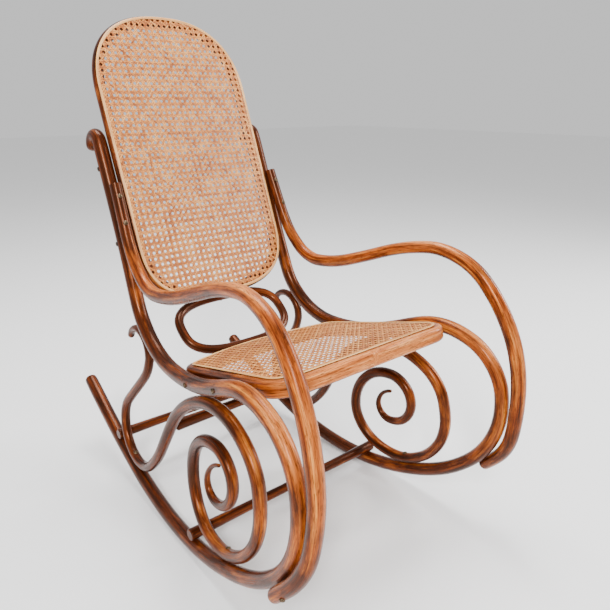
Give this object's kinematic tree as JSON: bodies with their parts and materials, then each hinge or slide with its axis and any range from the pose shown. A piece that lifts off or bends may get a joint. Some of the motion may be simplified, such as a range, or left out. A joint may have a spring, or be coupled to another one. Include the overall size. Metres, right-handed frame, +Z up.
{
  "type": "rocking chair",
  "caption": "Bentwood rocking chair in glossy dark-brown beech, with long curled runners, scrolled sides, bent arms and a caned seat and back",
  "frame": {"origin": "bottom centre of the chair's box, on the floor under the runners", "axes": "+Z up, +Y to the back of the chair, +X to the side on the right seen from the front"},
  "size_m": [0.5932, 0.9766, 1.0644],
  "materials": {
    "beech": "glossy dark-brown stain, worn to honey on the arms and the seat's front",
    "cane": "woven rattan cane, pale gold",
    "binding": "flat rattan strip over the cane's edge",
    "bolts": "darkened steel heads"
  },
  "bodies": {
    "root": {"arm_bolts": "bolts", "back_binding": "binding", "back_cane": "cane", "back_hoop": "beech", "front_stretcher": "beech", "hoop_bolts": "bolts", "left_arm": "beech", "left_bow": "beech", "left_scroll": "beech", "middle_stretcher": "beech", "oval_ring": "beech", "rear_stretcher": "beech", "right_arm": "beech", "right_bow": "beech", "right_scroll": "beech", "ring_bolts": "bolts", "scroll_bolts": "bolts", "seat_binding": "binding", "seat_bolts": "bolts", "seat_cane": "cane", "seat_frame": "beech"}
  },
  "joints": []
}
